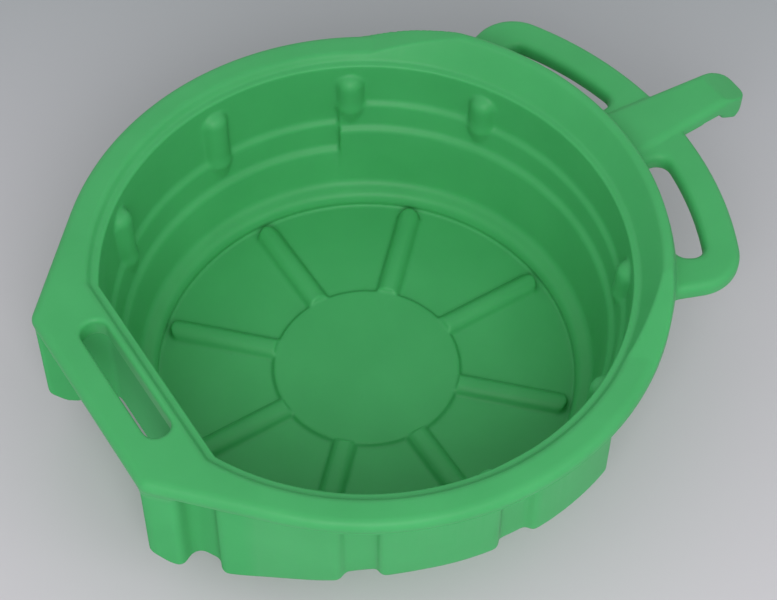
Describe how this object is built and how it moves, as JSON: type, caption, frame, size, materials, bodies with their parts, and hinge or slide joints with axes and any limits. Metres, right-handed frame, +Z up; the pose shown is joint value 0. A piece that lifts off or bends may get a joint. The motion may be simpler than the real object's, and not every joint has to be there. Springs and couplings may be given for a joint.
{
  "type": "oil drain pan",
  "caption": "Round open drain basin with a splash ridge, loop handles and a hook tongue on one side, and a grip deck with a hand slot on the other.",
  "frame": {"origin": "centre of the flat underside that the pan stands on, on the basin's axis", "axes": "+Z up out of the basin, +X towards the hook tongue, -X towards the grip deck, +Y the left side seen from the grip deck"},
  "size_m": [0.5882, 0.461, 0.1661],
  "materials": {
    "green_hdpe": "satin moulded polyethylene with a fine grain"
  },
  "bodies": {
    "root": {"centre_pad": "green_hdpe", "corner_leg_left": "green_hdpe", "corner_leg_right": "green_hdpe", "finger_recess_wall": "green_hdpe", "floor_panel": "green_hdpe", "floor_rib_1": "green_hdpe", "floor_rib_2": "green_hdpe", "floor_rib_3": "green_hdpe", "floor_rib_4": "green_hdpe", "floor_rib_5": "green_hdpe", "floor_rib_6": "green_hdpe", "floor_rib_7": "green_hdpe", "floor_rib_8": "green_hdpe", "floor_ring": "green_hdpe", "grip_bar": "green_hdpe", "grip_deck": "green_hdpe", "hook_tongue": "green_hdpe", "loop_handle_left": "green_hdpe", "loop_handle_right": "green_hdpe", "lower_wall_left": "green_hdpe", "lower_wall_right": "green_hdpe", "lower_wall_spout": "green_hdpe", "middle_wall_left": "green_hdpe", "middle_wall_right": "green_hdpe", "middle_wall_spout": "green_hdpe", "mouth_lip": "green_hdpe", "outer_skirt": "green_hdpe", "rim_roll": "green_hdpe", "splash_ridge": "green_hdpe", "straight_wall": "green_hdpe", "underside_ring": "green_hdpe", "upper_wall_left": "green_hdpe", "upper_wall_right": "green_hdpe", "upper_wall_spout": "green_hdpe", "wall_bump_left_1": "green_hdpe", "wall_bump_left_2": "green_hdpe", "wall_bump_left_3": "green_hdpe", "wall_bump_left_4": "green_hdpe", "wall_bump_right_1": "green_hdpe", "wall_bump_right_2": "green_hdpe", "wall_bump_right_3": "green_hdpe", "wall_bump_right_4": "green_hdpe"}
  },
  "joints": []
}
